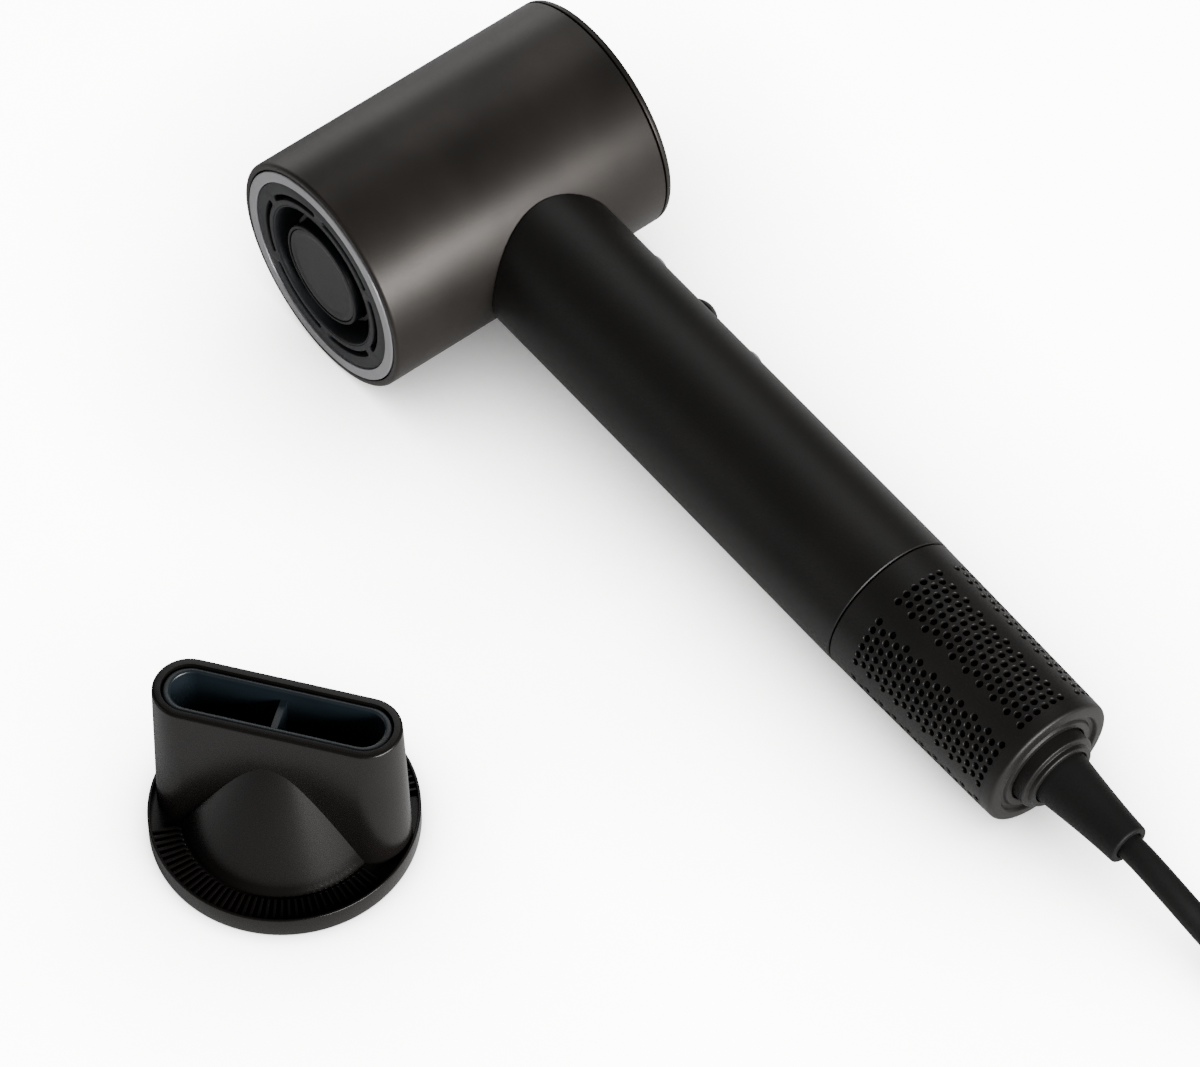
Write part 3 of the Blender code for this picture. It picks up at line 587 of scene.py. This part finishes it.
BUTTONS = {  # distance down the handle, radius, height of the dome, material, slot
    "speed": (54.8, 4.6, 2.4, SILVER, "silver_trim"),
    "power": (75.6, 5.6, 3.2, BLACK_KEY, "inner_plastic"),
    "heat": (96.4, 4.6, 2.4, SILVER, "silver_trim"),
}


def saddle(radius, angle, clearance):
    """Distance down the handle where a line on its side leaves the head's cylinder."""
    side = radius * (math.cos(angle) * HANDLE_BACK + math.sin(angle) * HANDLE_UP)
    a = HANDLE_AXIS.x ** 2 + HANDLE_AXIS.z ** 2
    b = 2 * (HANDLE_AXIS.x * side.x + HANDLE_AXIS.z * side.z)
    c = side.x ** 2 + side.z ** 2 - (HEAD_R + clearance) ** 2
    return (-b + math.sqrt(b * b - 4 * a * c)) / (2 * a)


def handle():
    """The grip's tube, shaped to the head's side and drilled for the buttons."""
    inner = HANDLE_R - HANDLE_WALL
    clearance = 0.12

    def side(angle):
        outside = saddle(HANDLE_R, angle, clearance)
        inside = saddle(inner, angle, clearance)
        return [(inner, inside), (HANDLE_R - 0.25, saddle(HANDLE_R - 0.25, angle, clearance)),
                (HANDLE_R, outside + 0.35), (HANDLE_R, 66), (HANDLE_R, 120),
                (HANDLE_R, HANDLE_END - 0.25), (HANDLE_R - 0.25, HANDLE_END), (inner, HANDLE_END)]

    grip = lathe("grip_tube", side, HANDLE, GRIP, 120)
    holes = []
    for name, (distance, radius, _, _, _) in BUTTONS.items():
        axis = HANDLE @ Matrix.Translation((0, 0, distance * MM))
        axis = axis @ Matrix.Rotation(math.pi / 2, 4, "Y")
        hole_r = radius + 0.2
        outline = [(0, 30), (hole_r, 30), (hole_r, 10), (0, 10)]
        holes.append(lathe(name + "_hole", outline, axis, GRIP, 48))
    cut(grip, *holes)
    settle(grip, "dryer", "handle_shell", "handle_tube")


def buttons():
    """Domed keys, each with a hidden collar that keeps it in the handle."""
    for name, (distance, radius, dome, material, slot) in BUTTONS.items():
        axis = HANDLE @ Matrix.Translation(Vector((HANDLE_R, 0, distance)) * MM)
        axis = axis @ Matrix.Rotation(math.pi / 2, 4, "Y")
        ball = (radius ** 2 + dome ** 2) / (2 * dome)
        half = math.asin(radius / ball)
        cap = [(ball * math.sin(half * i / 12), dome - ball * (1 - math.cos(half * i / 12)))
               for i in range(13)]
        profile = cap + [(radius, -3.6), (radius + 1, -3.7), (radius + 1, -4.8), (0, -4.8)]
        key = lathe(name + "_dome", profile, axis, material, 64, 40)
        settle(key, name + "_key", slot, name + "_button")


# ---------------------------------------------------------------- inlet

PANELS = 6
COLUMNS = 15  # half a hole pitch each; fifteen span a panel and the plain strip beside it
CAGE_STEPS = PANELS * COLUMNS
CAGE_TURN = math.radians(30)
HOLE_POINTS = 16
ROW_STEP = 2.77
FIRST_LINE = 191.2 - ROW_STEP / 2
FULL_ROWS = 10
WALL = 1.4


def cage_radius(height):
    share = (height - CAGE_START) / (CAGE_SHOULDER - CAGE_START)
    return CAGE_TOP_R + (CAGE_LOW_R - CAGE_TOP_R) * share


def perforated_cage():
    """The cage's wall as a grid of cells, with a round hole in each cell of its six panels."""
    shape = bmesh.new()
    known = {}
    rows = 2 * FULL_ROWS - 1

    def corner(i, j, depth):
        key = (i % CAGE_STEPS, j, depth)
        if key not in known:
            height = FIRST_LINE + ROW_STEP * j / 2
            angle = CAGE_TURN + TURN * key[0] / CAGE_STEPS
            known[key] = shape.verts.new(wall_point(angle, height, depth))
        return known[key]

    def wall_point(angle, height, depth):
        radius = cage_radius(height) - depth
        return Vector((radius * math.cos(angle), radius * math.sin(angle), height)) * MM

    def edge_of_cell(i, j, width, depth):
        low = [corner(i + n, j, depth) for n in range(width + 1)]
        high = [corner(i + n, j + 2, depth) for n in range(width, -1, -1)]
        return low + [corner(i + width, j + 1, depth)] + high + [corner(i, j + 1, depth)]

    def hole_ring(i, j, radius, depth):
        middle = CAGE_TURN + TURN * (i + 1) / CAGE_STEPS
        height = FIRST_LINE + ROW_STEP * (j + 1) / 2
        ring = []
        for n in range(HOLE_POINTS):
            a = -0.75 * math.pi + TURN * n / HOLE_POINTS
            turn = middle + radius * math.cos(a) / CAGE_LOW_R
            ring.append(shape.verts.new(wall_point(turn, height + radius * math.sin(a), depth)))
        return ring

    def fan(boundary, ring):
        for n in range(8):
            a, b = boundary[n], boundary[(n + 1) % 8]
            shape.faces.new((a, b, ring[(2 * n + 2) % HOLE_POINTS], ring[2 * n + 1], ring[2 * n]))

    def hole(i, j):
        outer = hole_ring(i, j, 1.14, 0)
        fan(edge_of_cell(i, j, 2, 0), outer)
        previous = outer
        for radius, depth in ((1.03, 0.14), (0.98, 0.4), (0.98, WALL)):
            ring = hole_ring(i, j, radius, depth)
            for n in range(HOLE_POINTS):
                m = (n + 1) % HOLE_POINTS
                shape.faces.new((previous[n], previous[m], ring[m], ring[n]))
            previous = ring
        fan(edge_of_cell(i, j, 2, WALL), previous)

    for row in range(rows):
        reach = 6 - row % 2
        taken = set()
        for panel in range(PANELS):
            middle = COLUMNS * panel
            for i in range(middle - reach, middle + reach, 2):
                hole(i, 2 * row)
                taken.update({i % CAGE_STEPS, (i + 1) % CAGE_STEPS})
        for i in range(CAGE_STEPS):
            if i not in taken:
                for depth in (0, WALL):
                    shape.faces.new(edge_of_cell(i, 2 * row, 1, depth))
    last = 2 * rows
    for start, line in ((0, top_band()), (last, end_band())):
        close_band(shape, corner, start, line)
    cage = finish_mesh("cage_perforated", shape, HANDLE, GRIP, 28)
    settle(cage, "cage", "handle_shell", "filter_cage")


def top_band():
    """From the grid's first line up to the cage's top edge."""
    inner = CAGE_TOP_R - WALL
    return [(cage_radius(CAGE_START + 0.3), CAGE_START + 0.3), (CAGE_TOP_R - 0.3, CAGE_START),
            (inner, CAGE_START)]


def end_band():
    """Round the shoulder, over the grooved end face and back inside."""
    face = CAGE_END - 0.5
    groove, inside = face - 0.9, CAGE_END - 2
    return rounded([(CAGE_LOW_R, CAGE_SHOULDER - 2.2), (CAGE_LOW_R - 0.1, CAGE_END - 0.6, 1.3),
                    (CAGE_HOLE_R + 4.3, CAGE_END - 0.2, 0.5), (CAGE_HOLE_R + 3.7, groove, 0.4),
                    (CAGE_HOLE_R + 2.5, groove, 0.4), (CAGE_HOLE_R + 1.9, face, 0.4),
                    (CAGE_HOLE_R, face, 0.3), (CAGE_HOLE_R, inside), (CAGE_LOW_R - 3, inside),
                    (CAGE_LOW_R - WALL, CAGE_SHOULDER - 1.5)])


def close_band(shape, corner, line_number, outline):
    """Join the grid's outer line to its inner line along the outline."""
    rings = [[corner(i, line_number, 0) for i in range(CAGE_STEPS)]]
    for radius, height in outline:
        ring = []
        for i in range(CAGE_STEPS):
            angle = CAGE_TURN + TURN * i / CAGE_STEPS
            at = Vector((radius * math.cos(angle), radius * math.sin(angle), height))
            ring.append(shape.verts.new(at * MM))
        rings.append(ring)
    rings.append([corner(i, line_number, WALL) for i in range(CAGE_STEPS)])
    for here, there in zip(rings, rings[1:]):
        for i in range(CAGE_STEPS):
            j = (i + 1) % CAGE_STEPS
            shape.faces.new((here[i], here[j], there[j], there[i]))


def cord_end():
    """The stepped collar and the tapered strain relief."""
    recess, recess_floor = RELIEF_ROOT_R + 0.35, COLLAR_END - 4.5
    flange_r, flange_low, bore = 16.8, FLANGE_TOP - 3.6, 4.5
    profile = rounded([(recess, COLLAR_END, 0.3), (COLLAR_R - 1.6, COLLAR_END, 0.6),
                       (COLLAR_R - 1.6, COLLAR_END - 1.6, 0.3), (COLLAR_R, COLLAR_END - 1.9, 0.5),
                       (COLLAR_R, FLANGE_TOP), (flange_r, FLANGE_TOP), (flange_r, flange_low),
                       (bore, flange_low), (bore, recess_floor), (recess, recess_floor)],
                      closed=True)
    settle(lathe("stepped_collar", profile, HANDLE, GRIP, 96), "dryer", "inner_plastic",
           "end_collar")
    root = COLLAR_END - 4.2
    length = RELIEF_TIP - COLLAR_END
    taper = RELIEF_ROOT_R - RELIEF_TIP_R
    steps = 16
    side = [(RELIEF_TIP_R + taper * (i / steps) ** 1.4, RELIEF_TIP - length * i / steps)
            for i in range(1, steps + 1)]
    mouth = CORD_R + 0.35
    rim = rounded([(mouth, RELIEF_TIP - 3), (mouth, RELIEF_TIP, 0.5), (RELIEF_TIP_R, RELIEF_TIP, 0.8),
                   (RELIEF_TIP_R + 0.03, RELIEF_TIP - 1.5)])
    profile = [(0, RELIEF_TIP - 3)] + rim + side + [(RELIEF_ROOT_R, root), (0, root)]
    settle(lathe("relief_taper", profile, HANDLE, RUBBER, 72), "dryer", "cord_rubber",
           "strain_relief")


# ---------------------------------------------------------------- nozzle

RIB_COUNT = 104
RIB_SHARE = 0.62  # how much of the pitch a rib's foot covers


def nozzle_base():
    """The round base: a rim, a recessed floor with fine radial ribs, and its open underside."""
    bore, groove_in, groove_out, groove_top = 25.6, 29.6, 33.6, 3.2
    rim, rim_top = NOZZLE_R - 0.9, 7.0
    profile = rounded([(rim, rim_top, 0.3), (NOZZLE_R, rim_top, 0.4), (NOZZLE_R, 0, 0.6),
                       (groove_out, 0, 0.2), (groove_out, groove_top), (groove_in, groove_top),
                       (groove_in, 0, 0.2), (bore, 0, 0.4), (bore, NOZZLE_FLOOR, 0.3),
                       (rim, NOZZLE_FLOOR)], closed=True)
    base = lathe("base_dish", profile, NOZZLE, NOZZLE_SKIN, 144)
    shape = bmesh.new()
    inner, outer = 28.4, rim + 0.2
    for i in range(RIB_COUNT):
        angle = TURN * (i + 0.5) / RIB_COUNT
        if abs(math.sin(angle)) * inner < MOUTH_HALF_WIDTH + 1.4:
            continue
        spin = Matrix.Rotation(angle, 4, "Z")
        loops = []
        for radius, top_z in ((inner, NOZZLE_FLOOR + 0.5), (inner + 0.8, NOZZLE_FLOOR + 1.3),
                              (outer, NOZZLE_FLOOR + 1.6)):
            half = math.pi * radius / RIB_COUNT * RIB_SHARE
            root_z, crest = NOZZLE_FLOOR - 0.3, half * 0.45
            section = [(radius, -half, root_z), (radius, -crest, top_z), (radius, crest, top_z),
                       (radius, half, root_z)]
            loops.append([shape.verts.new(spin @ (Vector(p) * MM)) for p in section])
        for a, b in zip(loops, loops[1:]):
            for n in range(4):
                m = (n + 1) % 4
                shape.faces.new((a[n], a[m], b[m], b[n]))
        shape.faces.new(loops[0])
        shape.faces.new(loops[-1])
    ribs = finish_mesh("base_ribs", shape, NOZZLE, NOZZLE_SKIN, 20)
    settle(joined("nozzle_dish", [base, ribs]), "nozzle", "nozzle_shell", "nozzle_base")


def nozzle_shell():
    """The slot-shaped spout with the cone swelling out of both its sides, and its bores."""
    low = NOZZLE_FLOOR + 0.3
    length, width = MOUTH_HALF_LENGTH, MOUTH_HALF_WIDTH
    edge = 0.9
    levels = [(stadium(length + SPOUT_FLARE, width + 0.3), low)]
    for i in range(CORNER_STEPS + 1):
        a = math.pi / 2 * i / CORNER_STEPS
        inset = edge * (1 - math.cos(a))
        height = NOZZLE_H - edge * (1 - math.sin(a))
        levels.append((stadium(length - inset, width - inset), height))
    shell = loft("spout", levels, NOZZLE, NOZZLE_SKIN)
    cone_r, cone_top_r, cone_top = 27.4, 6.0, 46.5
    profile = rounded([(0, cone_top), (cone_top_r, cone_top, 3), (cone_r, low + 0.8, 0.6),
                       (cone_r + 0.3, low), (0, low)])
    cone = lathe("swell", profile, NOZZLE, NOZZLE_SKIN, 120)
    cut(shell, cone, operation="UNION")
    wall = 2.2
    throat = 28.0
    slope = (cone_r - cone_top_r) / (cone_top - low)
    lower = loft("lower_bore", [(stadium(length + SPOUT_FLARE - wall, width + 0.3 - wall), low - 1),
                                (stadium(length - wall - 1, width - wall - 1), throat + 1)],
                 NOZZLE, NOZZLE_SKIN)
    inner_top = throat + 4
    bore = lathe("cone_bore", [(0, inner_top), (cone_r - wall - slope * (inner_top - low), inner_top),
                               (cone_r - wall + slope, low - 1), (0, low - 1)], NOZZLE, NOZZLE_SKIN)
    mouth = loft("mouth_bore", [(stadium(length - wall - 0.2, width - wall), throat),
                                (stadium(length - wall - 0.2, width - wall), NOZZLE_H + 2)],
                 NOZZLE, NOZZLE_SKIN)
    cut(shell, lower, bore, mouth, angle=26)
    shell.name = "nozzle_spout"
    settle(shell, "nozzle", "nozzle_shell", "nozzle_shell")


def nozzle_liner():
    """The mouth's lining, with its rounded lip and the blade across its middle."""
    length, width = MOUTH_HALF_LENGTH - 2.75, MOUTH_HALF_WIDTH - 2.55
    low, high, lip = 34.0, NOZZLE_H - 0.8, 0.7
    bore = (length - 2.2, width - 1.7)
    levels = [(stadium(length, width), low)]
    for i in range(5):
        a = math.pi / 2 * i / 4
        inset = lip * (1 - math.cos(a))
        levels.append((stadium(length - inset, width - inset), high - lip + lip * math.sin(a)))
    for i in range(5):
        a = math.pi / 2 * i / 4
        grow = lip * (1 - math.sin(a))
        levels.append((stadium(bore[0] + grow, bore[1] + grow), high - lip + lip * math.cos(a)))
    levels.append((stadium(*bore), low))
    tube = loft("liner_tube", levels, NOZZLE, LINER, closed_loop=True)
    reach = width - 0.6
    sections = []
    for half, height in ((0.5, low + 2), (0.9, high - 4)):
        outline = [(-half, -reach), (half, -reach), (half, reach), (-half, reach)]
        sections.append((outline, height))
    blade = loft("liner_blade", sections, NOZZLE, LINER)
    settle(joined("mouth_liner", [tube, blade]), "nozzle", "nozzle_liner", "nozzle_liner")


# ---------------------------------------------------------------- carried-over nodes

CARRIED = {
    "core_spider": DEEP, "outlet_duct": INNER, "outlet_magnet": MAGNET, "heater_former": MICA,
    "heater_element": STEEL, "thermal_cutout": STEEL, "ion_emitter": STEEL,
    "control_board": BOARD, "speed_switch": INNER, "power_switch": INNER, "heat_switch": INNER,
    "motor_housing": INNER, "motor_mount_upper": RUBBER, "motor_mount_lower": RUBBER,
    "stator_core": STEEL, "rotor_magnet": MAGNET, "motor_shaft": STEEL, "impeller": STEEL,
    "inlet_frame": INNER, "filter_sleeve": INNER, "nozzle_magnet": MAGNET,
}


def finish_carried():
    """Give the CAD nodes that stay as they are their materials."""
    for node, material in CARRIED.items():
        kept = bpy.data.objects[node]
        kept.data.materials.clear()
        kept.data.materials.append(material)


# ---------------------------------------------------------------- surroundings

FLOOR_GLOW = 12.0  # seen by the camera alone, so that the dark shells don't mirror it
# The floor's contact shadow is painted: ambient occlusion within this reach dims its glow.
SHADOW_REACH = 0.09
SHADOW_DEPTH = 2.4
FLOOR_SIZE = 12
ROOM_GLOW = 0.10
LIGHTS = (  # name, where it shines from, width, height, power
    ("key", (1.15, 0.12, 0.42), 0.90, 0.38, 33.0),
    ("top", (-0.80, 0.75, 1.15), 1.0, 0.8, 4.5),
    ("side", (-1.60, 0.45, 0.30), 1.4, 0.6, 6.4),
    ("fill", (-0.9, -1.5, 0.7), 1.0, 1.0, 3.0),
)


def studio():
    """A pale glowing floor in a dim room, a long low light at the right and soft ones around."""
    bpy.ops.mesh.primitive_plane_add(size=FLOOR_SIZE, location=(0, 0, 0))
    floor = bpy.context.object
    floor.name = "floor"
    floor.data.materials.append(pale_floor())
    world = bpy.data.worlds.new("studio")
    bpy.context.scene.world = world
    world.use_nodes = True
    back = world.node_tree.nodes["Background"]
    back.inputs["Color"].default_value = (1, 0.985, 0.97, 1)
    back.inputs["Strength"].default_value = ROOM_GLOW
    for name, place, width, height, power in LIGHTS:
        data = bpy.data.lights.new(name, "AREA")
        data.shape = "RECTANGLE"
        data.size = width
        data.size_y = height
        data.energy = power
        lamp = bpy.data.objects.new(name, data)
        bpy.context.scene.collection.objects.link(lamp)
        lamp.location = place
        lamp.rotation_euler = Vector(place).to_track_quat("Z", "Y").to_euler()


def pale_floor():
    """White that glows for the camera, with a painted contact shadow: the glow darkens softly close
    to whatever stands on it.
    """
    pale = new_material("pale_floor", (0.93, 0.925, 0.92), 0.85)
    vary(pale, noise(pale, 60, 4), "Base Color", (0.925, 0.92, 0.915), (0.94, 0.935, 0.93))
    nodes, links = pale.node_tree.nodes, pale.node_tree.links
    shader = nodes["Principled BSDF"]
    shader.inputs["Emission Color"].default_value = (1, 0.995, 0.985, 1)
    # Painted shadow: ambient occlusion dims the floor's glow near the pieces, in place of a cast
    # shadow.
    painted_shadow_ao = nodes.new("ShaderNodeAmbientOcclusion")
    painted_shadow_ao.inputs["Distance"].default_value = SHADOW_REACH
    shadow, seen, glow = (nodes.new("ShaderNodeMath") for _ in range(3))
    shadow.operation = "POWER"
    shadow.inputs[1].default_value = SHADOW_DEPTH
    seen.operation = glow.operation = "MULTIPLY"
    glow.inputs[1].default_value = FLOOR_GLOW
    ray = nodes.new("ShaderNodeLightPath")
    links.new(painted_shadow_ao.outputs["AO"], shadow.inputs[0])
    links.new(shadow.outputs["Value"], seen.inputs[0])
    links.new(ray.outputs["Is Camera Ray"], seen.inputs[1])
    links.new(seen.outputs["Value"], glow.inputs[0])
    links.new(glow.outputs["Value"], shader.inputs["Emission Strength"])
    return pale


head()
outlet()
handle()
buttons()
perforated_cage()
cord_end()
nozzle_base()
nozzle_shell()
nozzle_liner()
finish_carried()
studio()
